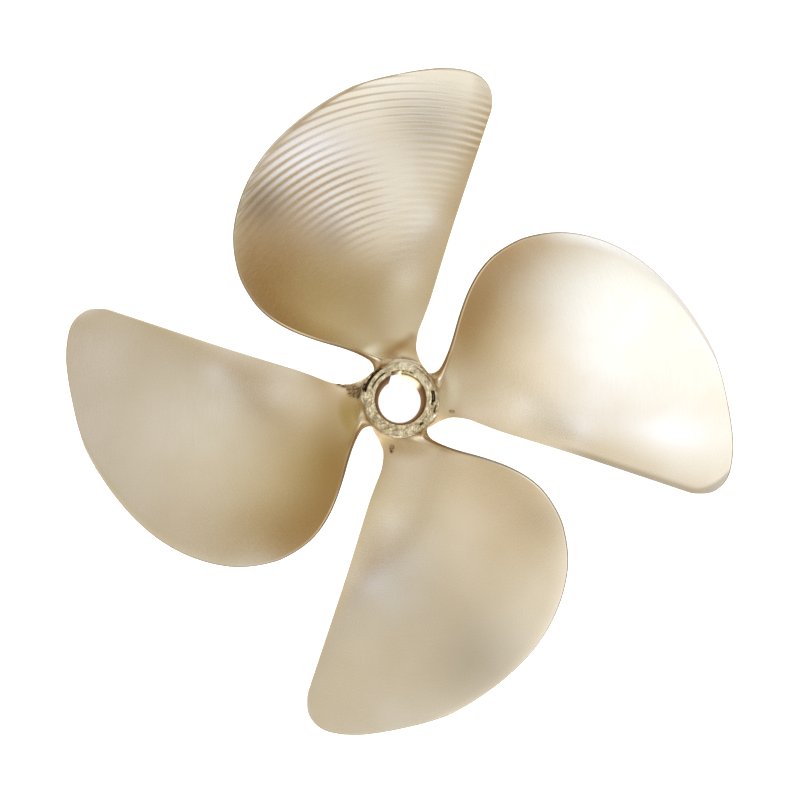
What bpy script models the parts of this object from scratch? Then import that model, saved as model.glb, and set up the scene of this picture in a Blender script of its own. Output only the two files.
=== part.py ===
"""Four-blade ship propeller cast in one piece, lying flat on the aft end of its hub.

The shaft axis is +Z and the forward end of the hub is up. Lengths are in metres.
The origin is the centre of the aft hub face. The propeller is right-handed: it turns
about +Z, and each blade climbs from its trailing edge to its leading edge.
"""

import math

import bmesh
import bpy

MM = 0.001

BLADE_COUNT = 4
PITCH = 900 * MM
TRAILING_HEIGHT = 42 * MM

# Trailing edge: its direction seen along the shaft, and (radius in mm, distance in mm
# from the line through the axis). It is straight beyond the root.
TRAILING_DIRECTION = math.radians(71.6)
TRAILING_EDGE = (
    (45, -6.0),
    (58, -4.0),
    (64, 1.8),
    (70, 3.3),
    (76, 5.4),
    (88, 7.0),
    (105, 9.3),
    (125, 8.3),
    (150, 6.9),
    (180, 6.7),
    (467, 6.7),
)

# Leading edge: (radius in mm, angle in degrees) where the outline passes.
LEADING_EDGE = (
    (45, 117.5),
    (60, 123.8),
    (74, 128.6),
    (105, 137.2),
    (136, 143.6),
    (169, 147.3),
    (202, 148.6),
    (236, 147.9),
    (269, 145.3),
    (299, 141.9),
    (350, 133.5),
    (405, 120.2),
    (456, 102.8),
    (467, 98.7),
)

# Beyond SHOULDER_RADIUS the tip edge bulges: (share of the way to the leading edge, mm).
ROOT_RADIUS = 42 * MM
SHOULDER_RADIUS = 467 * MM
TIP_BULGE = (
    (0.0, 0.0),
    (0.02, 12.5),
    (0.06, 22.0),
    (0.12, 29.5),
    (0.2, 33.0),
    (0.36, 30.5),
    (0.52, 23.0),
    (0.68, 14.8),
    (0.84, 7.6),
    (1.0, 0.0),
)
TIP_CORNER_START = 450 * MM
TIP_CORNER_TURN = math.radians(0.6)
TIP_BULGE_POWER = 6

# Blade thickness at the axis and at the tip, and the thickness of the rounded edges.
THICKNESS_AT_AXIS = 34 * MM
THICKNESS_AT_TIP = 8 * MM
EDGE_THICKNESS = 5 * MM
TIP_RADIUS = 500 * MM

# The forward face is nearly flat: it has this share of the section's bulge.
FORWARD_SHARE = 0.33
BULGE_POWER = 2.2

# Cup: the trailing edge of the outer blade curls aft.
CUP_WIDTH = 40 * MM
CUP_DROP = 4 * MM
CUP_START = 150 * MM
CUP_FULL = 300 * MM

# Root fillet: wide on the forward face, narrow on the aft face.
FILLET_FORWARD_RADIUS = 40 * MM
FILLET_AFT_RADIUS = 20 * MM
FILLET_START = 0.04
SHORTEST = 0.001 * MM

# Hub: a turned body that narrows aft, with a groove turned in its forward face.
HUB_LENGTH = 215 * MM
HUB_RADIUS = 54 * MM
HUB_AFT_RADIUS = 48 * MM
HUB_TAPER_LENGTH = 120 * MM
HUB_CHAMFER = 2 * MM
GROOVE_OUTER_RADIUS = 50 * MM
GROOVE_INNER_RADIUS = 46 * MM
GROOVE_DEPTH = 4 * MM
HUB_SEGMENTS = 64

# Bore with a taper of 1 in 20 on its diameter, and the keyway along it.
BORE_AFT_RADIUS = 31.5 * MM
BORE_FORWARD_RADIUS = BORE_AFT_RADIUS + HUB_LENGTH / 40
BORE_CHAMFER = 1 * MM
KEYWAY_WIDTH = 16 * MM
KEYWAY_DEPTH = 4.5 * MM
KEYWAY_ANGLE = math.radians(99)
CUT_BEYOND = 3 * MM

CHORD_STEPS = 14
SPAN_STEPS = 19
ROOT_STEPS = 9
TIP_SHARES = (0.93, 0.975, 0.993, 1.0)


def remove_scene_objects():
    for obj in list(bpy.data.objects):
        bpy.data.objects.remove(obj)


def bronze():
    material = bpy.data.materials.new("nickel_aluminium_bronze")
    material.use_nodes = True
    shader = material.node_tree.nodes["Principled BSDF"]
    shader.inputs["Base Color"].default_value = (0.58, 0.47, 0.31, 1.0)
    shader.inputs["Metallic"].default_value = 1.0
    shader.inputs["Roughness"].default_value = 0.36
    return material


def curve_through(points, x):
    """Smooth curve through the points, read at x: a cubic between each two neighbours."""
    last = len(points) - 1
    index = 0
    while index < last - 1 and x > points[index + 1][0]:
        index += 1

    def slope(k):
        before = points[max(k - 1, 0)]
        after = points[min(k + 1, last)]
        return (after[1] - before[1]) / (after[0] - before[0])

    x0, y0 = points[index]
    x1, y1 = points[index + 1]
    width = x1 - x0
    t = min(max((x - x0) / width, 0.0), 1.0)
    start = (2 * t**3 - 3 * t**2 + 1) * y0 + (t**3 - 2 * t**2 + t) * width * slope(index)
    end = (3 * t**2 - 2 * t**3) * y1 + (t**3 - t**2) * width * slope(index + 1)
    return start + end


def hub_radius(z):
    """Outer radius of the hub, which narrows towards its aft end."""
    short = max(0.0, 1 - z / HUB_TAPER_LENGTH)
    return HUB_RADIUS - (HUB_RADIUS - HUB_AFT_RADIUS) * short**2


def helix_height(angle):
    return TRAILING_HEIGHT + PITCH * (angle - TRAILING_DIRECTION) / (2 * math.pi)


def trailing_angle(radius):
    offset = MM * curve_through(TRAILING_EDGE, radius / MM)
    angle = TRAILING_DIRECTION + math.asin(offset / radius)
    past = max(0.0, (radius - TIP_CORNER_START) / (SHOULDER_RADIUS - TIP_CORNER_START))
    return angle + TIP_CORNER_TURN * past**2


def leading_angle(radius):
    return math.radians(curve_through(LEADING_EDGE, radius / MM))


def rounding(distance):
    """Half-round end of a section: 0 at the edge, 1 from half the edge thickness inwards."""
    share = min(1.0, distance / (EDGE_THICKNESS / 2))
    return math.sqrt(1 - (1 - share) ** 2)


def cup_drop(distance, radius):
    """How far the cup sets the section back at a distance from the trailing edge."""
    way = min(1.0, max(0.0, (radius - CUP_START) / (CUP_FULL - CUP_START)))
    return CUP_DROP * max(0.0, 1 - distance / CUP_WIDTH) ** 2 * way**2 * (3 - 2 * way)


def section_loop(span):
    """One blade section as a closed loop of (radius, angle, height)."""
    base_radius = ROOT_RADIUS + (SHOULDER_RADIUS - ROOT_RADIUS) * span
    start = trailing_angle(base_radius)
    sweep = leading_angle(base_radius) - start
    tip_distance = (1 - span) * (SHOULDER_RADIUS - ROOT_RADIUS)
    stations = []
    for step in range(CHORD_STEPS + 1):
        share = (1 - math.cos(math.pi * step / CHORD_STEPS)) / 2
        radius = base_radius + MM * curve_through(TIP_BULGE, share) * span**TIP_BULGE_POWER
        angle = start + sweep * share
        chord = radius * sweep / math.cos(math.atan(PITCH / (2 * math.pi * radius)))
        edge = rounding(min(share, 1 - share) * chord) * rounding(tip_distance)
        full = THICKNESS_AT_AXIS + (THICKNESS_AT_TIP - THICKNESS_AT_AXIS) * radius / TIP_RADIUS
        bulge = (full - EDGE_THICKNESS) * (1 - abs(2 * share - 1) ** BULGE_POWER) * edge
        middle = EDGE_THICKNESS / 2 - cup_drop(share * chord, radius)
        lower = middle - EDGE_THICKNESS / 2 * edge - bulge * (1 - FORWARD_SHARE)
        upper = middle + EDGE_THICKNESS / 2 * edge + bulge * FORWARD_SHARE
        stations.append((radius, angle, share * chord, lower, upper))
    loop = [(r, a, c, up) for r, a, c, low, up in stations]
    loop += [(r, a, c, low) for r, a, c, low, up in reversed(stations[1:-1])]
    return [place_on_blade(loop, index) for index in range(len(loop))]


def place_on_blade(loop, index):
    """Radius, angle and height of one loop point, pushed outwards by the root fillet."""
    radius, angle, along, off = loop[index]
    slant = math.atan(PITCH / (2 * math.pi * radius))
    height = helix_height(angle) + off * math.cos(slant)
    before = loop[index - 1]
    after = loop[(index + 1) % len(loop)]
    run = after[2] - before[2]
    rise = after[3] - before[3]
    length = max(math.hypot(run, rise), SHORTEST)
    facing = (1 + run / length) / 2
    fillet = FILLET_AFT_RADIUS + (FILLET_FORWARD_RADIUS - FILLET_AFT_RADIUS) * facing
    above = max(radius - hub_radius(height), FILLET_START * fillet)
    reach = max(0.0, fillet - above)
    thickening = fillet - math.sqrt(fillet**2 - reach**2)
    push = -rise / length * thickening
    lift = off + run / length * thickening
    turn = (push * math.cos(slant) - lift * math.sin(slant)) / radius
    climb = push * math.sin(slant) + lift * math.cos(slant)
    return radius, angle + turn, helix_height(angle) + climb


def span_shares():
    """Stations from the root to the tip, close together in the fillet and at the tip."""
    fillet_top = (HUB_RADIUS + FILLET_FORWARD_RADIUS - ROOT_RADIUS) / (SHOULDER_RADIUS - ROOT_RADIUS)
    shares = [fillet_top * step / ROOT_STEPS for step in range(ROOT_STEPS)]
    for step in range(SPAN_STEPS):
        way = step / SPAN_STEPS
        shares.append(fillet_top + (TIP_SHARES[0] - fillet_top) * way * (1.4 - 0.4 * way))
    return shares + list(TIP_SHARES)


def add_object(name, mesh_builder):
    mesh = bpy.data.meshes.new(name)
    bm = bmesh.new()
    mesh_builder(bm)
    bmesh.ops.recalc_face_normals(bm, faces=bm.faces)
    bmesh.ops.triangulate(bm, faces=bm.faces)
    bm.to_mesh(mesh)
    bm.free()
    obj = bpy.data.objects.new(name, mesh)
    bpy.context.collection.objects.link(obj)
    return obj


def build_blade(bm):
    """Closed blade pointing along +Y, its root sunk into the hub."""
    rings = []
    for span in span_shares():
        ring = []
        for radius, angle, height in section_loop(span):
            ring.append(bm.verts.new((radius * math.cos(angle), radius * math.sin(angle), height)))
        rings.append(ring)
    count = len(rings[0])
    for ring in (rings[0], rings[-1]):
        for step in range(CHORD_STEPS):
            corners = [ring[step], ring[step + 1], ring[count - step - 1], ring[-step]]
            bm.faces.new(list(dict.fromkeys(corners)))
    for inner, outer in zip(rings, rings[1:]):
        for step in range(count):
            after = (step + 1) % count
            bm.faces.new((inner[step], inner[after], outer[after], outer[step]))
    bmesh.ops.remove_doubles(bm, verts=bm.verts, dist=0.05 * MM)


def build_turned(bm, profile):
    """Closed turned body from a profile of (radius, height), with flat ends."""
    rings = []
    for radius, z in profile:
        ring = []
        for step in range(HUB_SEGMENTS):
            angle = 2 * math.pi * step / HUB_SEGMENTS
            ring.append(bm.verts.new((radius * math.cos(angle), radius * math.sin(angle), z)))
        rings.append(ring)
    for inner, outer in zip(rings, rings[1:]):
        for step in range(HUB_SEGMENTS):
            after = (step + 1) % HUB_SEGMENTS
            bm.faces.new((inner[step], inner[after], outer[after], outer[step]))
    bm.faces.new(list(reversed(rings[0])))
    bm.faces.new(rings[-1])


def build_hub(bm):
    """Hub without its bore: aft face, tapered side, forward face with its groove."""
    profile = [(HUB_AFT_RADIUS - HUB_CHAMFER, 0.0)]
    taper_steps = 6
    for step in range(taper_steps + 1):
        z = HUB_CHAMFER + (HUB_TAPER_LENGTH - HUB_CHAMFER) * step / taper_steps
        profile.append((hub_radius(z), z))
    profile.append((HUB_RADIUS, HUB_LENGTH - HUB_CHAMFER))
    profile.append((HUB_RADIUS - HUB_CHAMFER, HUB_LENGTH))
    profile.append((GROOVE_OUTER_RADIUS, HUB_LENGTH))
    profile.append((GROOVE_OUTER_RADIUS, HUB_LENGTH - GROOVE_DEPTH))
    profile.append((GROOVE_INNER_RADIUS, HUB_LENGTH - GROOVE_DEPTH))
    profile.append((GROOVE_INNER_RADIUS, HUB_LENGTH))
    build_turned(bm, profile)


def build_bore(bm):
    """Shape of the bore: the cone, and beyond it the flare that chamfers each mouth."""
    mouth = BORE_CHAMFER + CUT_BEYOND
    build_turned(bm, [
        (BORE_AFT_RADIUS + mouth, -CUT_BEYOND),
        (BORE_AFT_RADIUS, BORE_CHAMFER),
        (BORE_FORWARD_RADIUS, HUB_LENGTH - BORE_CHAMFER),
        (BORE_FORWARD_RADIUS + mouth, HUB_LENGTH + CUT_BEYOND),
    ])


def build_keyway(bm):
    """Box with a slanted outer wall that follows the bore's taper."""
    across = KEYWAY_WIDTH / 2
    taper = (BORE_FORWARD_RADIUS - BORE_AFT_RADIUS) / HUB_LENGTH
    corners = []
    for z in (-CUT_BEYOND, HUB_LENGTH + CUT_BEYOND):
        wall = BORE_AFT_RADIUS + taper * z + KEYWAY_DEPTH
        corners += [(0.0, -across, z), (wall, -across, z), (wall, across, z), (0.0, across, z)]
    turn_cos = math.cos(KEYWAY_ANGLE)
    turn_sin = math.sin(KEYWAY_ANGLE)
    verts = []
    for x, y, z in corners:
        verts.append(bm.verts.new((x * turn_cos - y * turn_sin, x * turn_sin + y * turn_cos, z)))
    for face in ((3, 2, 1, 0), (4, 5, 6, 7), (0, 1, 5, 4), (1, 2, 6, 5), (2, 3, 7, 6), (3, 0, 4, 7)):
        bm.faces.new([verts[index] for index in face])


def join_by_boolean(target, other, operation):
    modifier = target.modifiers.new(other.name, "BOOLEAN")
    modifier.solver = "EXACT"
    modifier.operation = operation
    modifier.object = other
    other.hide_render = True
    other.display_type = "WIRE"


def build_propeller():
    """The casting: hub, four blades a quarter turn apart, then the bore and its keyway."""
    propeller = add_object("propeller", build_hub)
    propeller.data.materials.append(bronze())
    blade = add_object("blade_shape", build_blade)
    for index in range(BLADE_COUNT):
        copy = blade if index == 0 else bpy.data.objects.new(f"blade_shape_{index}", blade.data)
        if index:
            bpy.context.collection.objects.link(copy)
        copy.rotation_euler.z = index * 2 * math.pi / BLADE_COUNT
        join_by_boolean(propeller, copy, "UNION")
    join_by_boolean(propeller, add_object("bore_shape", build_bore), "DIFFERENCE")
    join_by_boolean(propeller, add_object("keyway_shape", build_keyway), "DIFFERENCE")


remove_scene_objects()
build_propeller()
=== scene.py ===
"""Looks of the four-blade bronze ship propeller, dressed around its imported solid."""

import math
from collections import namedtuple

import bpy
import numpy as np
from mathutils import Matrix, Vector


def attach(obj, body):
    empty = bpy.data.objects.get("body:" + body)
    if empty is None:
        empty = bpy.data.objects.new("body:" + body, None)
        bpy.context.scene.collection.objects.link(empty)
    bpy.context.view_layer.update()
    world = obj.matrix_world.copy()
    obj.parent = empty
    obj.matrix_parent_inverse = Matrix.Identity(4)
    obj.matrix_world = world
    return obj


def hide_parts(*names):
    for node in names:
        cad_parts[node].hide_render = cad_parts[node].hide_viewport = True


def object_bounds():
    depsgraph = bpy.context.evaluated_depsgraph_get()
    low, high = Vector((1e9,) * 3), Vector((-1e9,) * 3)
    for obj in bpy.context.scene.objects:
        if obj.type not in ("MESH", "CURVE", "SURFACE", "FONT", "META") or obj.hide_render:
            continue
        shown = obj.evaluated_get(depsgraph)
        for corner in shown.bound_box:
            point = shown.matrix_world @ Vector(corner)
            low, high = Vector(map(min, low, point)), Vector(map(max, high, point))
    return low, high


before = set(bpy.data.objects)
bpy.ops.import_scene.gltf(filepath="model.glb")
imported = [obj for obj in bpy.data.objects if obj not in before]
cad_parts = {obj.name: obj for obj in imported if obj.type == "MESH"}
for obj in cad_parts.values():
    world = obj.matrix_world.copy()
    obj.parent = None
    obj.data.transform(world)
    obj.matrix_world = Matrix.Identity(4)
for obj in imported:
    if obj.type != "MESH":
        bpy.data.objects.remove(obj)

CAD_BOX = [list(corner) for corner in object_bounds()]

MM = 0.001

# Driving sizes of the casting, the same as in the solid.
BLADE_COUNT = 4
PITCH = 900 * MM
TRAILING_HEIGHT = 40.9 * MM
TRAILING_DIRECTION = math.radians(71.6)
# Trailing edge: radius, and distance from a straight line through the shaft's axis (mm).
TRAILING_EDGE = (
    (45, -6.0), (58, -4.0), (64, 1.8), (70, 3.3), (76, 5.4), (88, 7.0), (105, 9.3), (125, 8.3),
    (150, 6.9), (180, 6.7), (467, 6.7),
)
# Leading edge: radius (mm) and direction (degrees).
LEADING_EDGE = (
    (45, 117.5), (60, 123.8), (74, 128.6), (105, 137.2), (136, 143.6), (169, 147.3), (202, 148.6),
    (236, 147.9), (269, 145.3), (299, 141.9), (350, 133.5), (405, 120.2), (456, 102.8), (467, 98.7),
)
ROOT_RADIUS = 42 * MM
SHOULDER_RADIUS = 467 * MM
# How far the tip stands out from its shoulder radius: share of the chord, and mm.
TIP_BULGE = (
    (0.0, 0.0), (0.02, 12.5), (0.06, 22.0), (0.12, 29.5), (0.2, 33.0),
    (0.36, 30.5), (0.52, 23.0), (0.68, 14.8), (0.84, 7.6), (1.0, 0.0),
)
TIP_CORNER_START = 450 * MM
TIP_CORNER_TURN = math.radians(0.6)
TIP_BULGE_POWER = 6
THICKNESS_AT_AXIS = 34 * MM
THICKNESS_AT_TIP = 8 * MM
EDGE_THICKNESS = 5 * MM
TIP_RADIUS = 500 * MM
FORWARD_SHARE = 0.33
BULGE_POWER = 2.2
CUP_WIDTH = 40 * MM
CUP_DROP = 4 * MM
CUP_START = 150 * MM
CUP_FULL = 300 * MM
FILLET_FORWARD_RADIUS = 40 * MM
FILLET_AFT_RADIUS = 20 * MM
FILLET_START = 0.01
HUB_LENGTH = 215 * MM
HUB_RADIUS = 54 * MM
HUB_AFT_RADIUS = 48 * MM
HUB_TAPER_LENGTH = 120 * MM
BORE_AFT_RADIUS = 31.5 * MM
BORE_FORWARD_RADIUS = BORE_AFT_RADIUS + HUB_LENGTH / 40
KEYWAY_WIDTH = 16 * MM
KEYWAY_DEPTH = 4.5 * MM
KEYWAY_ANGLE = math.radians(99)

# Shapes that only the dressed part has. The leading edge falls a little over its last stretch.
LEAD_WIDTH = 36 * MM
LEAD_DROP = 1.5 * MM
# The keyway's floor lies deeper at the aft end than the solid's, and one of its walls is worn
# slanting: that wall's distance from the keyway's middle at the shaft's axis and at the floor.
KEYWAY_AFT_RADIUS = 40.3 * MM
KEYWAY_WORN_WALL = (25 * MM, 6.5 * MM)

# Mesh lines: distances from an edge, close together where the edge is rounded, and how many lines
# there are across the chord, in the root's fillet and over the body of a plain and a ridged blade.
EDGE_LINES = np.array([0, 0.12, 0.45, 1.0, 1.7, 2.5, 3.6, 5.2, 7.5, 10.5, 14.5, 20.0]) * MM
CHORD_LINES = 40
ROOT_LINES = 30
BODY_LINES = 70
RIDGED_BODY_LINES = 240
# The tip's bulge draws its last lines apart by about this factor, so they start closer together.
TIP_STRETCH = 1.45
HUB_SEGMENTS = 256
# Points nearer to each other than this are one, on a blade and on the joined casting.
BLADE_MERGE = 0.02 * MM
CASTING_MERGE = 0.005 * MM
SMOOTH_ANGLE = math.radians(30)
TINY = 1e-9

# Milling ridges that are left on one blade: arcs about a point beside the shaft, each rising slowly
# outwards and then falling off steeply. The table gives how much of them the grinder left, by
# direction (rows, degrees) and distance (columns, mm) from that point.
RIDGE_CENTRE = (32.4 * MM, 65.2 * MM)
RIDGE_SPACING = 11.4 * MM
RIDGE_START = 5.6 * MM
RIDGE_RISE = 0.72
RIDGE_HEIGHT = 0.9 * MM
RIDGE_DISTANCES = (117, 175, 219, 278, 314, 343, 372, 402)
RIDGE_LEFT = (
    (74, (0, 0, 0, 0.1, 0.6, 1.0, 0.9, 0.4)),
    (83, (0, 0, 0, 0.2, 0.5, 0.9, 1.0, 0.4)),
    (92, (0, 0, 0.1, 0.15, 0.5, 0.9, 0.9, 0.4)),
    (102, (0, 0.1, 0.5, 0.15, 0.05, 0.05, 0.6, 0.5)),
    (110, (0.05, 0.15, 0.7, 0.8, 0.3, 0.05, 0.5, 0.3)),
    (118, (0.1, 0.2, 0.8, 1.1, 0.9, 0.4, 0.4, 0.1)),
    (127, (0, 0, 0.15, 0.85, 1.1, 1.1, 0.4, 0.1)),
    (137, (0, 0, 0, 0, 0.3, 1.1, 0.4, 0)),
)

# Hub as it came from the foundry: it stands out a little more beside each blade's root (direction
# in degrees, mm), and the turned face has grooves (radius, half width and depth in mm, first and
# last direction in degrees) and lumps (direction in degrees, mm).
SHOULDER = (
    (0, 1.5), (20, 0.3), (45, 1.2), (62, 4.5), (98, 4.5), (112, 0.3), (125, 1.0), (140, 3.5),
    (176, 4.5), (190, 0.3), (225, 1.5), (240, 1.0), (262, 3.0), (300, 0.6), (315, 1.5), (333, 4.5),
    (350, 3.0), (360, 1.5),
)
FACE_GROOVES = (
    (52.9, 1.6, 3.6, 122, 167), (44.0, 0.9, 1.6, 120, 158), (41.2, 0.9, 1.6, 66, 108),
    (47.6, 2.0, 3.6, -3, 14), (50.6, 0.9, 1.0, 20, 62), (51.5, 1.2, 1.8, 338, 352),
    (46.0, 1.3, 2.6, 351, 357), (46.5, 1.5, 2.2, 307, 313),
)
FACE_LUMPS = (
    (0, 0.4), (55, 0.25), (70, 0.1), (110, 0.1), (165, 0.25), (185, 0.7), (340, 0.7), (360, 0.4),
)

# Uneven surfaces: length of the waves, and seed of their random directions.
HUB_WAVES = (26 * MM, 3)
FACE_WAVES = ((9 * MM, 11), (5 * MM, 12))
GRINDING_WAVES = (120 * MM, 21)
SKIN_WAVES = ((8 * MM, 31), (4.5 * MM, 32))
HUB_UNEVENNESS = 0.35 * MM
GRINDING_UNEVENNESS = 0.03 * MM
SKIN_UNEVENNESS = 0.7 * MM
# Crevice along the fillet of the first two blades: its radius and half width (mm) and its middle
# (degrees, as on the first blade).
CREVICE = (61.5, 1.7, 75)
CREVICE_DEPTH = 2.2 * MM

# Places at the blades' roots where the sand-cast skin was not ground off: number of the blade,
# radius (mm) and direction (degrees, as on the first blade), reach in both, and how much is left.
CAST_SKIN = (
    (0, (66, 64), (7, 5), 0.5), (1, (66, 74), (19, 16), 1.5), (1, (84, 71), (28, 7), 1.5),
    (2, (72, 80), (9, 4), 1.3), (3, (78, 78.5), (6, 2.5), 1.3),
)
# Painted brown shade: a streak across the first blade's root, its two ends and its half width, in mm.
PAINTED_SHADE_STREAK = ((-24.8, 59.5), (17.5, 93.6), 8.0)
# Painted brown shade along each blade's leading edge near the root: strength, and how far it reaches
# in.
PAINTED_BROWN_SHADE = ((0.9, 105 * MM), (1.0, 72 * MM), (0.3, 80 * MM), (1.0, 55 * MM))
# Painted highlight streak beside each trailing edge: its two ends on the first blade, and its
# half width, in mm.
PAINTED_HIGHLIGHT_STREAK = ((46, 262), (10, 186), 24)
# Painted highlights and painted grey shade: number of the blade, radius (mm) and direction
# (degrees, as on the first blade), reach in both, strength.
PAINTED_HIGHLIGHT_PLACES = (
    (0, (385, 112), (55, 13), 0.7), (1, (440, 80), (70, 12), 0.4), (3, (400, 83), (90, 5), 0.4),
    (0, (300, 109), (50, 9), 0.3), (1, (320, 138), (60, 12), 0.3),
)
PAINTED_SHADE_PLACES = (
    (2, (400, 107), (110, 14), 0.3), (0, (410, 84), (75, 11), 0.25), (0, (350, 125), (50, 9), 0.4),
    (0, (265, 112), (50, 9), 0.15), (2, (270, 140), (60, 9), 0.12),
)
# The blade with a painted highlight strip along its leading edge and a painted shade strip
# along its trailing edge.
STRIPED_BLADE = 3

# Materials of the casting, in the order of its slots.
GROUND, TURNED, BORED = range(3)
# A stroke round the shaft has its full length at this radius.
STROKE_RADIUS = 250 * MM
# Sockets of the mix node's colours, which share their names with its other kinds.
FACTOR, FIRST, SECOND = 0, 6, 7
COLOUR_MIX = {"output": 2, "data_type": "RGBA"}

# Stage and camera, in metres. The photograph is as wide as this at the target.
FLOOR_SIZE = 80
BACKDROP_RADIUS = 30
CAMERA_TARGET = (-0.0003, 0.0003, 0.132)
CAMERA_DIRECTION = (-0.008, -0.017, 1.0)
CAMERA_DISTANCE = 5.9
PHOTO_WIDTH = 800 * 1.4613 * MM
SENSOR_WIDTH = 36

# Studio light: the dim dome's linear colour, and soft panels (azimuth, elevation and half width in
# degrees, linear colour times brightness).
DOME_LIGHT = (0.41, 0.25, 0.00)
PANELS = (
    (16, 73, 11, (1.97, 2.54, 3.24)),
    (-56, 49, 11, (0.70, 1.03, 1.56)),
    (9, 35, 11, (0.74, 0.99, 1.33)),
    (66, 1, 11, (0.60, 0.83, 1.17)),
    (-89, 58, 24, (0.72, 0.86, 1.04)),
    (46, -8, 11, (0.61, 0.85, 1.03)),
    (83, -58, 16, (0.73, 0.84, 1.01)),
    (154, 77, 16, (0.26, 0.49, 0.98)),
    (94, 32, 11, (0.44, 0.65, 0.96)),
    (-76, 38, 11, (0.25, 0.42, 0.88)),
    (-47, -29, 24, (0.48, 0.65, 0.83)),
    (98, -5, 16, (0.48, 0.61, 0.79)),
    (-164, -21, 24, (0.44, 0.55, 0.76)),
    (-104, 5, 16, (0.45, 0.57, 0.69)),
    (6, -25, 16, (0.40, 0.52, 0.66)),
    (179, 30, 11, (0.12, 0.26, 0.63)),
    (-84, 13, 11, (0.45, 0.53, 0.61)),
    (114, 43, 11, (0.31, 0.41, 0.56)),
    (-99, -32, 11, (0.34, 0.39, 0.53)),
    (1, 11, 11, (0.34, 0.40, 0.49)),
    (-141, 52, 11, (0.20, 0.29, 0.38)),
    (-149, 24, 11, (0.25, 0.28, 0.38)),
    (53, 14, 11, (0.27, 0.37, 0.31)),
    (171, 7, 11, (0.25, 0.26, 0.34)),
    (29, 46, 11, (0.09, 0.13, 0.33)),
    (-64, 22, 11, (0.30, 0.32, 0.31)),
    (-169, 15, 16, (0.17, 0.26, 0.30)),
    (-137, 10, 11, (0.22, 0.27, 0.30)),
    (126, 26, 11, (0.20, 0.24, 0.29)),
    (13, -3, 11, (0.14, 0.22, 0.28)),
    (166, 47, 11, (0.24, 0.27, 0.21)),
    (-92, -9, 16, (0.15, 0.17, 0.24)),
    (151, -2, 24, (0.13, 0.20, 0.16)),
    (-114, -86, 10, (1.50, 1.40, 1.20)),
)

# The casting's points with their normals, radius, number of their blade, direction as on the first
# blade (degrees), distance behind the leading edge, and how much they face forward.
Surface = namedtuple("Surface", "points normals radius blade angle behind forward")


def curve_through(points, x):
    """Smooth curve through the points, read at each x: a cubic between each two neighbours."""
    px, py = np.array(points, float).T
    slope = np.empty_like(px)
    slope[1:-1] = (py[2:] - py[:-2]) / (px[2:] - px[:-2])
    slope[0] = (py[1] - py[0]) / (px[1] - px[0])
    slope[-1] = (py[-1] - py[-2]) / (px[-1] - px[-2])
    index = np.clip(np.searchsorted(px, x, side="right") - 1, 0, len(px) - 2)
    width = px[index + 1] - px[index]
    t = np.clip((x - px[index]) / width, 0, 1)
    start = (2 * t**3 - 3 * t**2 + 1) * py[index] + (t**3 - 2 * t**2 + t) * width * slope[index]
    end = (3 * t**2 - 2 * t**3) * py[index + 1] + (t**3 - t**2) * width * slope[index + 1]
    return start + end


def ease(low, high, x):
    """0 below low, 1 above high, smooth between."""
    t = np.clip((x - low) / (high - low), 0, 1)
    return t * t * (3 - 2 * t)


def hub_radius(z):
    short = np.maximum(0.0, 1 - z / HUB_TAPER_LENGTH)
    return HUB_RADIUS - (HUB_RADIUS - HUB_AFT_RADIUS) * short**2


def helix_height(angle):
    return TRAILING_HEIGHT + PITCH * (angle - TRAILING_DIRECTION) / (2 * math.pi)


def slant_at(radius):
    return np.arctan(PITCH / (2 * math.pi * radius))


def trailing_angle(radius):
    past = np.maximum(0.0, (radius - TIP_CORNER_START) / (SHOULDER_RADIUS - TIP_CORNER_START))
    offset = MM * curve_through(TRAILING_EDGE, radius / MM)
    return TRAILING_DIRECTION + np.arcsin(offset / radius) + TIP_CORNER_TURN * past**2


def leading_angle(radius):
    return np.radians(curve_through(LEADING_EDGE, radius / MM))


def rounding(distance):
    """Half-round edge: 0 at the edge, 1 from half the edge thickness inwards."""
    share = np.clip(distance / (EDGE_THICKNESS / 2), 0, 1)
    return np.sqrt(1 - (1 - share) ** 2)


def span_shares(body_lines):
    """Stations from the root to the tip, close together in the fillet and at the tip."""
    reach = SHOULDER_RADIUS - ROOT_RADIUS
    fillet_top = (HUB_RADIUS + FILLET_FORWARD_RADIUS - ROOT_RADIUS) / reach
    tip = 1 - EDGE_LINES[::-1] / (reach * TIP_STRETCH)
    root = np.linspace(0, fillet_top, ROOT_LINES, endpoint=False)
    body = np.linspace(fillet_top, tip[0], body_lines, endpoint=False)
    return np.concatenate([root, body, tip])


def ridge_height(x, y):
    """Ridges between the milling cutter's passes, as high as the grinder left them."""
    across = np.hypot(x - RIDGE_CENTRE[0], y - RIDGE_CENTRE[1])
    angle = np.degrees(np.arctan2(y - RIDGE_CENTRE[1], x - RIDGE_CENTRE[0]))
    step = ((across - RIDGE_START) / RIDGE_SPACING) % 1.0
    ridge = np.where(step < RIDGE_RISE, step / RIDGE_RISE, (1 - step) / (1 - RIDGE_RISE))
    rows = np.array([np.interp(across / MM, RIDGE_DISTANCES, left) for _, left in RIDGE_LEFT])
    directions = [direction for direction, _ in RIDGE_LEFT]
    row = np.interp(angle, directions, range(len(directions)))
    low = np.minimum(row.astype(int), len(directions) - 2)
    lower = np.take_along_axis(rows, low[None], 0)[0]
    upper = np.take_along_axis(rows, low[None] + 1, 0)[0]
    return RIDGE_HEIGHT * ridge * (lower + (upper - lower) * (row - low))


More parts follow.
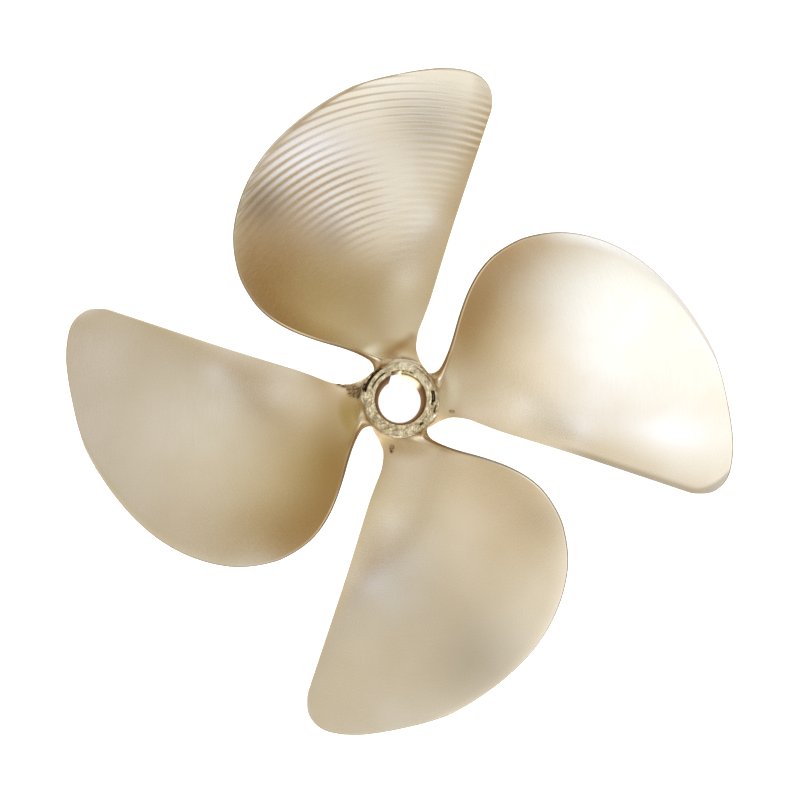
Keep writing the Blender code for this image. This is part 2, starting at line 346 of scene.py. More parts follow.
def blade_sections(body_lines, ridged):
    """Sections of the blade from root to tip, each read from its trailing to its leading edge.

    Gives every place's radius, direction and distance from the trailing edge, and how far its
    forward and its aft side lie off the helix.
    """
    span = span_shares(body_lines)[:, None]
    base = ROOT_RADIUS + (SHOULDER_RADIUS - ROOT_RADIUS) * span
    start = trailing_angle(base)
    sweep = leading_angle(base) - start
    chord = base * sweep / np.cos(slant_at(base))
    ways = np.linspace(0, 1, CHORD_LINES + 1)[None, 1:-1]
    edge = EDGE_LINES[None, :]
    inside = EDGE_LINES[-1] + (chord - 2 * EDGE_LINES[-1]) * ways
    along = np.concatenate([edge + 0 * chord, inside, chord - edge[:, ::-1]], axis=1)
    share = along / chord
    tip_bulge = MM * curve_through(TIP_BULGE, share)
    radius = base + tip_bulge * span**TIP_BULGE_POWER
    angle = start + sweep * share
    tip_distance = (1 - span) * (SHOULDER_RADIUS - ROOT_RADIUS + TIP_BULGE_POWER * tip_bulge)
    round_off = rounding(np.minimum(along, chord - along)) * rounding(tip_distance)
    full = THICKNESS_AT_AXIS + (THICKNESS_AT_TIP - THICKNESS_AT_AXIS) * radius / TIP_RADIUS
    bulge = (full - EDGE_THICKNESS) * (1 - np.abs(2 * share - 1) ** BULGE_POWER) * round_off
    cup = CUP_DROP * np.clip(1 - along / CUP_WIDTH, 0, 1) ** 2 * ease(CUP_START, CUP_FULL, radius)
    lead = LEAD_DROP * np.clip(1 - (chord - along) / LEAD_WIDTH, 0, 1) ** 2
    lead = lead * ease(ROOT_RADIUS, CUP_START, radius)
    middle = EDGE_THICKNESS / 2 - cup - lead
    lower = middle - EDGE_THICKNESS / 2 * round_off - bulge * (1 - FORWARD_SHARE)
    upper = middle + EDGE_THICKNESS / 2 * round_off + bulge * FORWARD_SHARE
    if ridged:
        # The ridges stop short of the edges, and come nearer to the trailing one at the tip.
        inner = ease(0, 6 * MM, np.minimum(chord - along, tip_distance))
        beside = along + 26 * MM * ease(370 * MM, 400 * MM, radius)
        inner = inner * ease(6 * MM, 40 * MM, beside)
        upper = upper + ridge_height(radius * np.cos(angle), radius * np.sin(angle)) * inner
    return radius, angle, along, upper, lower


def there_and_back(front, back):
    """Closed ring: over the front and back again, without the two ends twice."""
    return np.concatenate([front, back[:, -2:0:-1]], axis=1)


def blade_rings(body_lines, ridged):
    """Blade as rings of points: each ring runs over the forward side and back over the aft side.

    Beside the hub the points are pushed out along the section's own normal, for the fillet.
    """
    radius, angle, along, upper, lower = blade_sections(body_lines, ridged)
    radius = there_and_back(radius, radius)
    angle = there_and_back(angle, angle)
    along = there_and_back(along, along)
    off = there_and_back(upper, lower)
    run = np.roll(along, -1, axis=1) - np.roll(along, 1, axis=1)
    rise = np.roll(off, -1, axis=1) - np.roll(off, 1, axis=1)
    length = np.maximum(np.hypot(run, rise), TINY)
    slant = slant_at(radius)
    facing = (1 + run / length) / 2
    fillet = FILLET_AFT_RADIUS + (FILLET_FORWARD_RADIUS - FILLET_AFT_RADIUS) * facing
    above = radius - hub_radius(helix_height(angle) + off * np.cos(slant))
    reach = np.clip(fillet - np.maximum(above, FILLET_START * fillet), 0, None)
    thickening = fillet - np.sqrt(fillet**2 - reach**2)
    push = -rise / length * thickening
    lift = off + run / length * thickening
    turned = angle + (push * np.cos(slant) - lift * np.sin(slant)) / radius
    height = helix_height(angle) + push * np.sin(slant) + lift * np.cos(slant)
    return np.stack([radius * np.cos(turned), radius * np.sin(turned), height], axis=2)


def build_blade(name, turn, body_lines, ridged):
    """Closed blade, its root cap inside the hub.

    No primitive and modifier gives this helical surface, so its mesh is laid out here.
    """
    rings = blade_rings(body_lines, ridged)
    rows, count, _ = rings.shape
    cos, sin = math.cos(turn), math.sin(turn)
    points = rings.reshape(-1, 3) @ np.array([[cos, sin, 0], [-sin, cos, 0], [0, 0, 1]])
    points = np.clip(points, CAD_BOX[0], CAD_BOX[1])
    faces = []
    for row in range(rows - 1):
        low, high = row * count, (row + 1) * count
        for step in range(count):
            after = (step + 1) % count
            faces.append((low + step, low + after, high + after, high + step))
    for row in (0, rows - 1):
        low = row * count
        for step in range(count // 2):
            mirrored = low + (count - step) % count
            quad = [low + step, mirrored, low + count - step - 1, low + step + 1]
            if row:
                quad.reverse()
            faces.append(list(dict.fromkeys(quad)))
    mesh = bpy.data.meshes.new(name)
    mesh.from_pydata(points.tolist(), [], faces)
    mesh.update()
    blade = bpy.data.objects.new(name, mesh)
    bpy.context.collection.objects.link(blade)
    merge_points(blade, BLADE_MERGE)
    return blade


def only(obj):
    """Selects this object alone and makes it active."""
    bpy.ops.object.select_all(action="DESELECT")
    obj.select_set(True)
    bpy.context.view_layer.objects.active = obj


def merge_points(obj, distance):
    """Merges points that lie closer than this, and points all faces outwards."""
    only(obj)
    bpy.ops.object.mode_set(mode="EDIT")
    bpy.ops.mesh.select_all(action="SELECT")
    bpy.ops.mesh.remove_doubles(threshold=distance)
    bpy.ops.mesh.normals_make_consistent(inside=False)
    bpy.ops.object.mode_set(mode="OBJECT")


def hub_profile():
    """(radius, height) in mm: up the outer side, over the rounded rim and in over the forward face."""
    outer = [(46.0, 0.0), (47.4, 0.6), (48.0, 2.0)]
    for z in list(range(10, 121, 10)) + list(range(128, 201, 8)) + [204, 208]:
        outer.append((float(hub_radius(z * MM)) / MM, z))
    rim = [(54.0, -5.0), (53.8, -3.6), (53.3, -2.4), (52.6, -1.4), (51.7, -0.7), (50.7, -0.2)]
    face = [(radius, 0) for radius in np.arange(50.0, 36.0, -0.65)]
    forward = [(float(radius), HUB_LENGTH / MM + depth) for radius, depth in rim + face]
    return outer + forward + [(30.0, HUB_LENGTH / MM)]


def by_direction(table, angle):
    """Value of a table of (direction, value) at each angle."""
    directions, values = zip(*table)
    return np.interp(angle, directions, values)


def ripple(points, length, seed):
    """Uneven field about 0 with waves about this long: eight sine waves in mixed directions."""
    random = np.random.default_rng(seed)
    total = np.zeros(len(points))
    for _ in range(8):
        direction = random.normal(size=3)
        direction *= random.uniform(0.7, 1.5) / np.linalg.norm(direction)
        phase = points @ direction * 2 * math.pi / length
        total += np.sin(phase + random.uniform(0, 2 * math.pi))
    return total / 3


def two_ripples(points, coarse, fine):
    """Coarse waves with finer ones, half as strong, on top."""
    return ripple(points, *coarse) + ripple(points, *fine) / 2


def read_points(obj, what):
    """The points' places ("co") or normals ("normal"), one row each."""
    values = np.empty(len(obj.data.vertices) * 3)
    obj.data.vertices.foreach_get(what, values)
    return values.reshape(-1, 3)


def move_points(obj, points):
    """Moves the points there, but not out of the solid's box."""
    points = np.clip(points, CAD_BOX[0], CAD_BOX[1])
    obj.data.vertices.foreach_set("co", points.ravel())
    obj.data.update()


def direction_of(points):
    """Direction of each point from the shaft's axis, 0 to 360 degrees."""
    return np.degrees(np.arctan2(points[:, 1], points[:, 0])) % 360


def groove_depth(radius, angle):
    """How deep the grooves of the forward face are at each place; their ends fade over 5 degrees."""
    depth = np.zeros_like(radius)
    for middle, half_width, deep, first, last in FACE_GROOVES:
        for turn in (-360, 0, 360):
            ends = ease(first + turn - 3, first + turn + 2, angle)
            ends = ends * (1 - ease(last + turn - 2, last + turn + 3, angle))
            depth += deep * MM * ends * np.exp(-(((radius / MM - middle) / half_width) ** 4))
    return depth


def roughen_hub(hub):
    """Gives the turned hub its cast shoulders, the grooves of its face and its rough places."""
    points = read_points(hub, "co")
    radius = np.hypot(points[:, 0], points[:, 1])
    angle = direction_of(points)
    height = points[:, 2]
    shoulder = ease(125 * MM, 190 * MM, height) * ease(47 * MM, 53.5 * MM, radius)
    side = ease(47 * MM, 52 * MM, radius) * ease(4 * MM, 30 * MM, height)
    out = by_direction(SHOULDER, angle) * MM * shoulder
    out += HUB_UNEVENNESS * ripple(points, *HUB_WAVES) * side
    grown = radius + out
    lumps = by_direction(FACE_LUMPS, angle) * MM * two_ripples(points, *FACE_WAVES)
    depth = groove_depth(grown, angle) + np.abs(lumps)
    face = ease(HUB_LENGTH - 9 * MM, HUB_LENGTH - 1 * MM, height)
    face = face * ease(36.5 * MM, 38.5 * MM, radius)
    points[:, :2] *= (grown / np.maximum(radius, TINY))[:, None]
    points[:, 2] = height - depth * face
    move_points(hub, points)


def bore_profile():
    """(radius, height) in mm of the taper that is bored out, with its broken edges."""
    aft, forward, length = BORE_AFT_RADIUS / MM, BORE_FORWARD_RADIUS / MM, HUB_LENGTH / MM
    return [
        (aft + 2.0, -1.0), (aft + 1.0, 0.0), (aft + 0.3, 0.5), (aft, 1.2), (forward, length - 1.6),
        (forward + 0.4, length - 0.6), (forward + 1.2, length), (forward + 2.2, length + 1.0),
    ]


def turn_on_lathe(profile):
    """Solid of revolution: a disc drawn out along the profile, step by step."""
    radius, height = profile[0]
    bpy.ops.object.select_all(action="DESELECT")
    bpy.ops.mesh.primitive_circle_add(
        vertices=HUB_SEGMENTS, radius=radius * MM, fill_type="NGON", location=(0, 0, height * MM)
    )
    turned = bpy.context.object
    bpy.ops.object.transform_apply(location=True, rotation=False, scale=False)
    bpy.ops.object.mode_set(mode="EDIT")
    bpy.ops.mesh.select_all(action="SELECT")
    for next_radius, next_height in profile[1:]:
        rise = (next_height - height) * MM
        bpy.ops.mesh.extrude_region_move(TRANSFORM_OT_translate={"value": (0, 0, rise)})
        grow = next_radius / radius
        bpy.ops.transform.resize(value=(grow, grow, 1), center_override=(0, 0, next_height * MM))
        radius, height = next_radius, next_height
    bpy.ops.mesh.select_all(action="SELECT")
    bpy.ops.mesh.normals_make_consistent(inside=False)
    bpy.ops.object.mode_set(mode="OBJECT")
    return turned


def keyway_block():
    """Block that cuts the keyway, its outer face following the bore's taper."""
    bpy.ops.object.select_all(action="DESELECT")
    bpy.ops.mesh.primitive_cube_add(size=1, location=(0, 0, HUB_LENGTH / 2))
    block = bpy.context.object
    bpy.ops.object.transform_apply(location=True, rotation=False, scale=False)
    cos, sin = math.cos(KEYWAY_ANGLE), math.sin(KEYWAY_ANGLE)
    past_the_end = 2 * MM
    for vert in block.data.vertices:
        forward, at_floor, worn = vert.co.z > HUB_LENGTH / 2, vert.co.x > 0, vert.co.y > 0
        z = HUB_LENGTH + past_the_end if forward else -past_the_end
        floor = BORE_FORWARD_RADIUS + KEYWAY_DEPTH if forward else KEYWAY_AFT_RADIUS
        out = floor if at_floor else 0
        across = KEYWAY_WORN_WALL[at_floor] if worn else -KEYWAY_WIDTH / 2
        vert.co = (out * cos - across * sin, out * sin + across * cos, z)
    return block


def boolean(target, other, operation):
    """Joins the other solid to the target or cuts it out, and removes it."""
    modifier = target.modifiers.new("cut", "BOOLEAN")
    modifier.solver = "EXACT"
    modifier.operation = operation
    modifier.object = other
    only(target)
    bpy.ops.object.modifier_apply(modifier=modifier.name)
    bpy.data.objects.remove(other)


def read_surface(casting):
    points = read_points(casting, "co")
    normals = read_points(casting, "normal")
    radius = np.hypot(points[:, 0], points[:, 1])
    angle = np.degrees(np.arctan2(points[:, 1], points[:, 0]))
    # The first blade's quarter starts at 60 degrees, a little before its trailing edge.
    quarter = np.floor((angle - 60) / 90).astype(int)
    angle = angle - 90 * quarter
    behind = (leading_angle(radius) - np.radians(angle)) * radius
    forward = ease(0.1, 0.3, normals[:, 2])
    return Surface(points, normals, radius, quarter % BLADE_COUNT, angle, behind, forward)


def away_from(surface, middle, reach):
    """Distance from a place on a blade, 1 at its reach (radius in mm, direction in degrees)."""
    outwards = (surface.radius / MM - middle[0]) / reach[0]
    round_by = (surface.angle - middle[1]) / reach[1]
    return np.hypot(outwards, round_by)


def soft_places(surface, places):
    """Soft round places on the blades, each with its own strength."""
    total = np.zeros(len(surface.radius))
    for blade, middle, reach, strength in places:
        place = strength * np.exp(-2 * away_from(surface, middle, reach) ** 2)
        total = np.maximum(total, place * (surface.blade == blade))
    return total


def streak_at(points, streak):
    """Soft streak: 1 along the line between its two ends, fading out over its half width."""
    start, end, half_width = (np.array(item) * MM for item in streak)
    run = end - start
    along = np.clip((points[:, :2] - start) @ run / (run @ run), 0, 1)
    away = np.linalg.norm(points[:, :2] - start - along[:, None] * run, axis=1)
    return np.exp(-((away / half_width) ** 2))


def unground_skin(surface, uneven):
    """Sand-cast skin that the grinder missed, in ragged patches beside the roots."""
    skin = np.zeros(len(surface.radius))
    for blade, middle, reach, left in CAST_SKIN:
        patch = left * (1 - ease(0.45, 1.0, away_from(surface, middle, reach)))
        skin = np.maximum(skin, patch * (surface.blade == blade) * surface.forward)
    return np.clip(skin * (1.15 + 0.5 * uneven), 0, 1)


def fillet_crevice(surface):
    """Narrow crevice where two of the fillets run out on the hub."""
    radius, half_width, middle = CREVICE
    crevice = np.exp(-(((surface.radius / MM - radius) / half_width) ** 2))
    crevice = crevice * (1 - ease(12, 17, np.abs(surface.angle - middle)))
    return crevice * (surface.blade < 2) * ease(0.05, 0.15, surface.normals[:, 2])


def hub_side(surface):
    """1 on the hub's outer side, 0 from 4 mm outside it."""
    out = surface.radius - hub_radius(surface.points[:, 2])
    return (1 - ease(0, 4 * MM, out)) * (np.abs(surface.normals[:, 2]) < 0.7)


def painted_brown_shade(surface):
    """Painted brown shade beside and right along the leading edges near the root, and a painted shade
    streak on the first blade.
    """
    radius, behind = surface.radius, surface.behind
    strength, reach = np.array(PAINTED_BROWN_SHADE)[surface.blade].T
    near_root = ease(60 * MM, 140 * MM, radius) * (1 - ease(250 * MM, 380 * MM, radius))
    brown_shade = strength * np.exp(-((behind / reach) ** 2)) * near_root
    edge = (1 - ease(3 * MM, 16 * MM, behind)) * (1 - ease(80 * MM, 160 * MM, radius))
    streak = streak_at(surface.points, PAINTED_SHADE_STREAK) * (surface.blade == 0) * surface.forward
    return np.maximum(brown_shade, 0.9 * np.maximum(edge, streak))


def painted_highlights(surface):
    """Painted highlights: streaks beside the trailing edges, one leading edge towards its tip, and
    softer places.
    """
    turned = np.radians(surface.angle)
    as_first = surface.radius[:, None] * np.stack([np.cos(turned), np.sin(turned)], axis=1)
    streak = 0.5 * streak_at(as_first, PAINTED_HIGHLIGHT_STREAK)
    edge = (1 - ease(8 * MM, 34 * MM, surface.behind)) * ease(300 * MM, 360 * MM, surface.radius)
    edge = 0.8 * edge * (surface.blade == STRIPED_BLADE)
    return np.max([streak, edge, soft_places(surface, PAINTED_HIGHLIGHT_PLACES)], axis=0) * surface.forward


def painted_edge_shade(surface):
    """Painted shade: greyer where the surface turns away from the blade's own helix."""
    slope = np.tan(slant_at(np.maximum(surface.radius, ROOT_RADIUS)))
    turned = np.arctan2(surface.points[:, 1], surface.points[:, 0])
    upright = np.ones(len(slope))
    helix = np.stack([slope * np.sin(turned), -slope * np.cos(turned), upright], axis=1)
    facing = np.abs((surface.normals * helix).sum(axis=1)) / np.linalg.norm(helix, axis=1)
    return 0.6 * (1 - ease(0.35, 0.9, facing)) * ease(80 * MM, 110 * MM, surface.radius)


def painted_grey_shade(surface, crevice):
    """Painted shade in the grooves and crevice, on edges turned from the helix, in soft places, and in
    one trailing edge's strip.
    """
    points, radius = surface.points, surface.radius
    on_face = ease(HUB_LENGTH - 9 * MM, HUB_LENGTH - 6 * MM, points[:, 2])
    grooves = ease(0.8 * MM, 2 * MM, groove_depth(radius, direction_of(points))) * on_face
    shade_places = soft_places(surface, PAINTED_SHADE_PLACES) * surface.forward
    beside = (np.radians(surface.angle) - trailing_angle(np.maximum(radius, ROOT_RADIUS))) * radius
    strip = 0.4 * (1 - ease(5 * MM, 12 * MM, beside)) * ease(220 * MM, 300 * MM, radius)
    strip = strip * (surface.blade == STRIPED_BLADE) * surface.forward
    return np.max([grooves, crevice, painted_edge_shade(surface), shade_places, strip], axis=0)


def add_attribute(obj, name, values):
    layer = obj.data.attributes.new(name, "FLOAT", "POINT")
    layer.data.foreach_set("value", np.clip(values, 0, 1).astype(np.float32))


def finish_surface(casting):
    """Uneven hand grinding and the unground skin as shape; the cast skin, painted highlights, painted
    brown shade and painted shade as attributes.
    """
    surface = read_surface(casting)
    uneven = two_ripples(surface.points, *SKIN_WAVES)
    skin = unground_skin(surface, uneven)
    crevice = fillet_crevice(surface)
    on_blades = ease(62 * MM, 85 * MM, surface.radius)
    off = GRINDING_UNEVENNESS * ripple(surface.points, *GRINDING_WAVES) * on_blades
    off += skin * SKIN_UNEVENNESS * uneven - CREVICE_DEPTH * crevice
    move_points(casting, surface.points + surface.normals * off[:, None])
    # The cast skin is the metal's own; the other three attributes are painted highlights and painted
    # shade.
    add_attribute(casting, "painted_highlight", painted_highlights(surface))
    add_attribute(casting, "cast_skin", np.maximum(skin, 0.5 * hub_side(surface)))
    add_attribute(casting, "painted_brown_shade", painted_brown_shade(surface))
    add_attribute(casting, "painted_shade", painted_grey_shade(surface, crevice))


def assign_finishes(casting):
    """Turned end faces and the bored taper take their own material, face by face."""
    widest_bore = 42.5 * MM
    for polygon in casting.data.polygons:
        x, y, z = polygon.center
        radius = math.hypot(x, y)
        upright = abs(polygon.normal.z)
        wall = BORE_AFT_RADIUS + (BORE_FORWARD_RADIUS - BORE_AFT_RADIUS) * z / HUB_LENGTH
        in_bore = radius < min(wall + KEYWAY_DEPTH + 4 * MM, widest_bore)
        at_an_end = z < 1 * MM or z > HUB_LENGTH - 6 * MM
        finish = GROUND
        if in_bore and upright < 0.5:
            finish = BORED
        elif radius < HUB_RADIUS and upright > 0.3 and at_an_end:
            finish = TURNED
        polygon.material_index = finish


def linear(code):
    """sRGB hex colour as linear RGBA."""
    channels = [int(code[i:i + 2], 16) / 255 for i in (0, 2, 4)]
    return [c / 12.92 if c <= 0.04045 else ((c + 0.055) / 1.055) ** 2.4 for c in channels] + [1.0]


def add_node(tree, kind, sockets=None, output=0, **settings):
    """Adds a node with its settings and links, and gives one of its outputs.

    A socket takes a value, or the output that it is linked to.
    """
    new = tree.nodes.new(kind)
    for name, value in settings.items():
        setattr(new, name, value)
    for key, value in (sockets or {}).items():
        if isinstance(value, bpy.types.NodeSocket):
            tree.links.new(value, new.inputs[key])
        else:
            new.inputs[key].default_value = value
    return new.outputs[output]


def new_material(name, roughness, colour):
    """Bare metal, with its finish's mean roughness and colour before the patterns are linked."""
    material = bpy.data.materials.new(name)
    material.use_nodes = True
    shader = material.node_tree.nodes["Principled BSDF"]
    shader.inputs["Metallic"].default_value = 1.0
    shader.inputs["Roughness"].default_value = roughness
    shader.inputs["Base Color"].default_value = linear(colour)
    return material, material.node_tree, shader


def strokes_round_shaft(tree, across, along, up):
    """Coordinates that follow the tool round the shaft: long strokes, narrow across."""
    place = add_node(tree, "ShaderNodeTexCoord", output="Object")
    x, y, z = add_node(tree, "ShaderNodeSeparateXYZ", {0: place}).node.outputs
    flat = add_node(tree, "ShaderNodeCombineXYZ", {0: x, 1: y})
    radius = add_node(tree, "ShaderNodeVectorMath", {0: flat}, "Value", operation="LENGTH")
    angle = add_node(tree, "ShaderNodeMath", {0: y, 1: x}, operation="ARCTAN2")
    scales = ((radius, 1 / across), (angle, STROKE_RADIUS / along), (z, 1 / up))
    sockets = {
        key: add_node(tree, "ShaderNodeMath", {0: value, 1: scale}, operation="MULTIPLY")
        for key, (value, scale) in enumerate(scales)
    }
    return add_node(tree, "ShaderNodeCombineXYZ", sockets)


def bronze_ground():
    """Nickel-aluminium bronze, ground and brushed with a fine flap wheel: a soft satin.

    Warm silver-gold, a little browner in clouds of oxide; painted brown shade, painted highlights
    and painted shade lie on it, and the strokes run round the shaft. The sand-cast skin that the
    grinder missed is dull, red-brown and pitted.
    """
    material, tree, shader = new_material("ground_bronze", 0.27, "DFD1BA")
    place = add_node(tree, "ShaderNodeTexCoord", output="Object")
    skin, brown_shade, painted_highlight, painted_shade = (
        add_node(tree, "ShaderNodeAttribute", output="Fac", attribute_name=name)
        for name in ("cast_skin", "painted_brown_shade", "painted_highlight", "painted_shade")
    )
    # Clouds of slightly different oxide, a hand's breadth wide.
    sockets = {"Vector": place, "Scale": 1 / (110 * MM), "Detail": 2.0, "Roughness": 0.55}
    clouds = add_node(tree, "ShaderNodeTexNoise", sockets)
    sockets = {"Value": clouds, "From Min": 0.35, "From Max": 0.65}
    cloudy = add_node(tree, "ShaderNodeMapRange", sockets)
    sockets = {FACTOR: cloudy, FIRST: linear("E0D3BD"), SECOND: linear("DBCCB2")}
    colour = add_node(tree, "ShaderNodeMix", sockets, **COLOUR_MIX)
    # The painted brown shade lets some of the metal's colour through.
    shade_share = add_node(tree, "ShaderNodeMath", {0: brown_shade, 1: 0.75}, operation="MULTIPLY")
    sockets = {FACTOR: shade_share, FIRST: colour, SECOND: linear("AD8850")}
    colour = add_node(tree, "ShaderNodeMix", sockets, **COLOUR_MIX)
    # Painted highlights, near white.
    sockets = {FACTOR: painted_highlight, FIRST: colour, SECOND: linear("FBF8F4")}
    colour = add_node(tree, "ShaderNodeMix", sockets, **COLOUR_MIX)
    # Scale and moulding sand, in grains of 2 to 5 mm.
    sockets = {"Vector": place, "Scale": 1 / (4 * MM), "Detail": 3.0, "Roughness": 0.55}
    grains = add_node(tree, "ShaderNodeTexNoise", sockets)
    sockets = {"Value": grains, "From Min": 0.38, "From Max": 0.62}
    grainy = add_node(tree, "ShaderNodeMapRange", sockets)
    sockets = {FACTOR: grainy, FIRST: linear("4A2C20"), SECOND: linear("D8BF98")}
    scale = add_node(tree, "ShaderNodeMix", sockets, **COLOUR_MIX)
    sockets = {"Value": skin, "From Min": 0.15, "From Max": 0.75}
    unground = add_node(tree, "ShaderNodeMapRange", sockets)
    sockets = {FACTOR: unground, FIRST: colour, SECOND: scale}
    colour = add_node(tree, "ShaderNodeMix", sockets, **COLOUR_MIX)
    # Painted shade in the grooves, crevice, turned-away edges and soft places.
    sockets = {FACTOR: painted_shade, FIRST: colour, SECOND: linear("574732")}
    colour = add_node(tree, "ShaderNodeMix", sockets, **COLOUR_MIX)
    tree.links.new(colour, shader.inputs["Base Color"])
    # Strokes are 0.1 mm wide in the metal. They are drawn 1.2 mm wide and 40 mm long to show.
    along = strokes_round_shaft(tree, 1.2 * MM, 40 * MM, 12 * MM)
    sockets = {"Vector": along, "Scale": 1.0, "Detail": 2.0, "Roughness": 0.55}
    strokes = add_node(tree, "ShaderNodeTexNoise", sockets)
    sockets = {"Value": strokes, "From Min": 0.3, "From Max": 0.7, "To Min": 0.25, "To Max": 0.3}
    satin = add_node(tree, "ShaderNodeMapRange", sockets)
    # The cast skin is duller.
    rough = add_node(tree, "ShaderNodeMath", {0: skin, 1: 0.3, 2: satin}, operation="MULTIPLY_ADD")
    tree.links.new(rough, shader.inputs["Roughness"])
    sockets = {"Height": strokes, "Strength": 0.06, "Distance": 0.2 * MM}
    fine = add_node(tree, "ShaderNodeBump", sockets)
    # Pits in the cast skin, 2 to 3 mm wide.
    sockets = {"Vector": place, "Scale": 1 / (2.6 * MM), "Detail": 3.0, "Roughness": 0.55}
    holes = add_node(tree, "ShaderNodeTexNoise", sockets)
    pits = add_node(tree, "ShaderNodeMath", {0: holes, 1: skin}, operation="MULTIPLY")
    sockets = {"Height": pits, "Strength": 0.9, "Distance": 1.2 * MM, "Normal": fine}
    tree.links.new(add_node(tree, "ShaderNodeBump", sockets), shader.inputs["Normal"])
    return material


def bronze_turned():
    """The same bronze as the lathe left it on the hub's ends: fine rings, dull, blotched with age,
    with painted shade in its grooves.
    """
    material, tree, shader = new_material("turned_bronze", 0.3, "B7A37F")
    place = add_node(tree, "ShaderNodeTexCoord", output="Object")
    painted_shade = add_node(tree, "ShaderNodeAttribute", output="Fac", attribute_name="painted_shade")
    # Blotches 5 to 10 mm wide, grey and cream; the cream ones are smoother.
    sockets = {"Vector": place, "Scale": 1 / (9 * MM), "Detail": 2.0, "Roughness": 0.55}
    blotches = add_node(tree, "ShaderNodeTexNoise", sockets)
    sockets = {"Value": blotches, "From Min": 0.36, "From Max": 0.64}
    cream = add_node(tree, "ShaderNodeMapRange", sockets)
    sockets = {FACTOR: cream, FIRST: linear("988462"), SECOND: linear("C5B18A")}
    colour = add_node(tree, "ShaderNodeMix", sockets, **COLOUR_MIX)
    # Painted shade in the face's grooves.
    sockets = {FACTOR: painted_shade, FIRST: colour, SECOND: linear("574732")}
    colour = add_node(tree, "ShaderNodeMix", sockets, **COLOUR_MIX)
    tree.links.new(colour, shader.inputs["Base Color"])
    sockets = {"Value": blotches, "From Min": 0.3, "From Max": 0.7, "To Min": 0.4, "To Max": 0.26}
    tree.links.new(add_node(tree, "ShaderNodeMapRange", sockets), shader.inputs["Roughness"])
    # The tool's rings, 0.3 mm apart in the metal, are drawn 1 mm apart.
    around = strokes_round_shaft(tree, 1.0 * MM, 60 * MM, 20 * MM)
    sockets = {"Vector": around, "Scale": 1.0, "Detail": 1.0, "Roughness": 0.55}
    rings = add_node(tree, "ShaderNodeTexNoise", sockets)
    sockets = {"Height": rings, "Strength": 0.35, "Distance": 0.3 * MM}
    fine = add_node(tree, "ShaderNodeBump", sockets)
    # Lumps 3 to 4 mm wide.
    sockets = {"Vector": place, "Scale": 1 / (3.5 * MM), "Detail": 2.0, "Roughness": 0.55}
    lumps = add_node(tree, "ShaderNodeTexNoise", sockets)
    sockets = {"Height": lumps, "Strength": 0.4, "Distance": 0.8 * MM, "Normal": fine}
    tree.links.new(add_node(tree, "ShaderNodeBump", sockets), shader.inputs["Normal"])
    return material


def bronze_bored():
    """The bored taper and the keyway: bored bronze that has gone brown, with a painted highlight on
    one side.
    """
    material, tree, shader = new_material("bored_bronze", 0.34, "8A6846")
    place = add_node(tree, "ShaderNodeTexCoord", output="Object")
    x, y, _ = add_node(tree, "ShaderNodeSeparateXYZ", {0: place}).node.outputs
    angle = add_node(tree, "ShaderNodeMath", {0: y, 1: x}, operation="ARCTAN2")
    # Painted highlight, near white, from 42 to 90 degrees round the bore, fading out to 28 and 104
    # degrees.
    sockets = {0: angle, 1: math.radians(66)}
    aside = add_node(tree, "ShaderNodeMath", sockets, operation="SUBTRACT")
    aside = add_node(tree, "ShaderNodeMath", {0: aside}, operation="ABSOLUTE")
    sockets = {"Value": aside, "From Min": math.radians(38), "From Max": math.radians(24)}
    painted_bright_side = add_node(tree, "ShaderNodeMapRange", sockets)
    # Brown stains about 9 mm wide.
    sockets = {"Vector": place, "Scale": 1 / (9 * MM), "Detail": 3.0, "Roughness": 0.55}
    stains = add_node(tree, "ShaderNodeTexNoise", sockets)
    sockets = {"Value": stains, "From Min": 0.35, "From Max": 0.65}
    stained = add_node(tree, "ShaderNodeMapRange", sockets)
    sockets = {FACTOR: stained, FIRST: linear("A27440"), SECOND: linear("D0A162")}
    brown = add_node(tree, "ShaderNodeMix", sockets, **COLOUR_MIX)
    sockets = {FACTOR: painted_bright_side, FIRST: brown, SECOND: linear("F8EACD")}
    colour = add_node(tree, "ShaderNodeMix", sockets, **COLOUR_MIX)
    tree.links.new(colour, shader.inputs["Base Color"])
    # The side with the painted highlight is smoother.
    sockets = {"Value": painted_bright_side, "To Min": 0.62, "To Max": 0.2}
    tree.links.new(add_node(tree, "ShaderNodeMapRange", sockets), shader.inputs["Roughness"])
    # The boring bar's rings are finer than 1 mm in the metal. They are drawn 9.4 mm apart to show:
    # the wave turns by 20 radians in its size of 30 mm.
    sockets = {"Vector": place, "Scale": 1 / (30 * MM)}
    rings = add_node(tree, "ShaderNodeTexWave", sockets, "Fac", bands_direction="Z")
    sockets = {"Height": rings, "Strength": 0.2, "Distance": 0.1 * MM}
    tree.links.new(add_node(tree, "ShaderNodeBump", sockets), shader.inputs["Normal"])
    return material


def build_world():
    """Soft panels on a dim dome, each brightest in its middle and fading out over its half width."""
    world = bpy.data.worlds.new("studio")
    bpy.context.scene.world = world
    world.use_nodes = True
    tree = world.node_tree
    toward = add_node(tree, "ShaderNodeTexCoord", output="Generated")
    light = DOME_LIGHT
    for azimuth, elevation, half_width, strength in PANELS:
        round_by, up_by = math.radians(azimuth), math.radians(elevation)
        level = math.cos(up_by)
        middle = (level * math.cos(round_by), level * math.sin(round_by), math.sin(up_by))
        narrow = 1 / math.radians(half_width) ** 2
        sockets = {0: toward, 1: middle}
        facing = add_node(tree, "ShaderNodeVectorMath", sockets, "Value", operation="DOT_PRODUCT")
        sockets = {0: facing, 1: narrow, 2: -narrow}
        fall = add_node(tree, "ShaderNodeMath", sockets, operation="MULTIPLY_ADD")
        glow = add_node(tree, "ShaderNodeMath", {0: fall}, operation="EXPONENT")
        sockets = {0: strength, "Scale": glow}
        panel = add_node(tree, "ShaderNodeVectorMath", sockets, operation="SCALE")
        light = add_node(tree, "ShaderNodeVectorMath", {0: light, 1: panel}, operation="ADD")
    tree.links.new(light, tree.nodes["Background"].inputs["Color"])


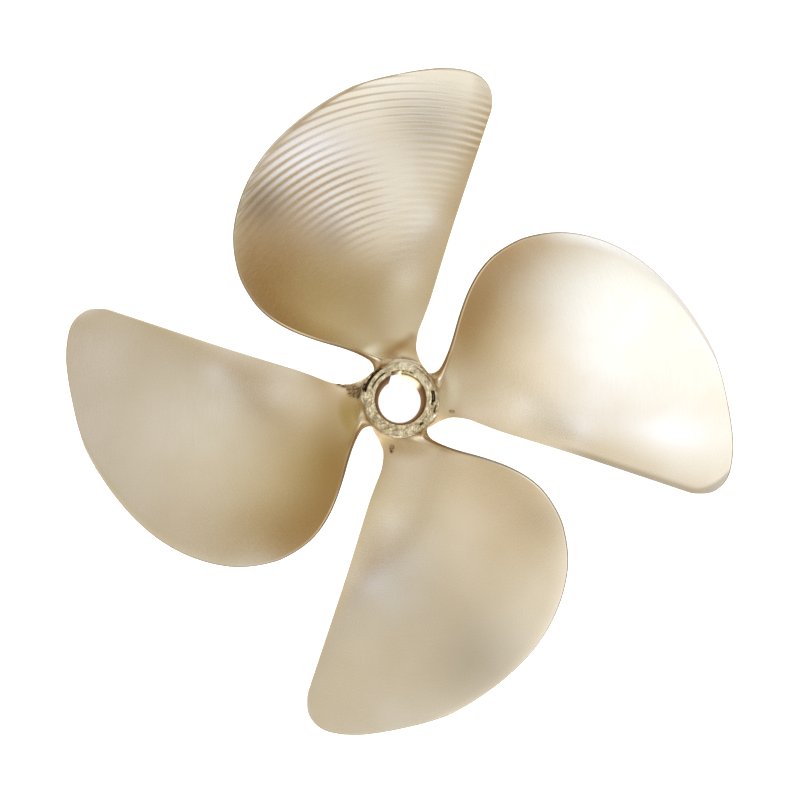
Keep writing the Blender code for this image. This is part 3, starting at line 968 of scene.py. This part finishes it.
def white_material(name, colour, glow, strength):
    """Plain white that gives off light of its own."""
    material = bpy.data.materials.new(name)
    material.use_nodes = True
    shader = material.node_tree.nodes["Principled BSDF"]
    shader.inputs["Base Color"].default_value = linear(colour)
    shader.inputs["Emission Color"].default_value = linear(glow)
    shader.inputs["Emission Strength"].default_value = strength
    return material, shader


def build_floor():
    """Matt white floor, as white as the photograph's ground, and not seen in the metal."""
    bpy.ops.mesh.primitive_plane_add(size=FLOOR_SIZE, location=(0, 0, 0))
    floor = bpy.context.object
    floor.name = "floor"
    material, shader = white_material("floor_white", "F4F4F2", "FFFFFF", 0.95)
    shader.inputs["Roughness"].default_value = 0.9
    floor.data.materials.append(material)
    floor.visible_glossy = False
    floor.visible_shadow = False


def build_backdrop():
    """Pale dome far round the scene, for the views from low down; the light passes through it."""
    bpy.ops.mesh.primitive_uv_sphere_add(
        segments=64, ring_count=32, radius=BACKDROP_RADIUS, location=(0, 0, 0)
    )
    dome = bpy.context.object
    dome.name = "backdrop"
    material, _ = white_material("backdrop_white", "000000", "FBFAF8", 1.0)
    dome.data.materials.append(material)
    dome.visible_glossy = False
    dome.visible_diffuse = False
    dome.visible_shadow = False


def build_camera():
    """The photograph looks down the shaft, a little from one side."""
    data = bpy.data.cameras.new("camera")
    camera = bpy.data.objects.new("camera", data)
    bpy.context.collection.objects.link(camera)
    away = Vector(CAMERA_DIRECTION).normalized()
    right = Vector((0, 1, 0)).cross(away).normalized()
    upright = away.cross(right)
    camera.location = Vector(CAMERA_TARGET) + away * CAMERA_DISTANCE
    camera.rotation_euler = Matrix((right, upright, away)).transposed().to_euler()
    data.sensor_width = SENSOR_WIDTH
    data.lens = SENSOR_WIDTH * CAMERA_DISTANCE / PHOTO_WIDTH
    bpy.context.scene.camera = camera


def build_propeller():
    """One casting: the turned hub with its four blades, bored out with the keyway."""
    casting = turn_on_lathe(hub_profile())
    casting.name = "bronze_propeller"
    roughen_hub(casting)
    for index in range(BLADE_COUNT):
        turn = index * 2 * math.pi / BLADE_COUNT
        ridged = index == 0
        body_lines = RIDGED_BODY_LINES if ridged else BODY_LINES
        blade = build_blade(f"blade_{index + 1}", turn, body_lines, ridged)
        boolean(casting, blade, "UNION")
    bore = turn_on_lathe(bore_profile())
    boolean(bore, keyway_block(), "UNION")
    boolean(casting, bore, "DIFFERENCE")
    merge_points(casting, CASTING_MERGE)
    finish_surface(casting)
    for material in (bronze_ground(), bronze_turned(), bronze_bored()):
        casting.data.materials.append(material)
    assign_finishes(casting)
    only(casting)
    bpy.ops.object.shade_smooth_by_angle(angle=SMOOTH_ANGLE)
    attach(casting, "root")
    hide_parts("propeller")


bpy.context.scene.view_settings.view_transform = "Standard"
build_world()
build_floor()
build_backdrop()
build_camera()
bpy.ops.object.select_all(action="DESELECT")
build_propeller()
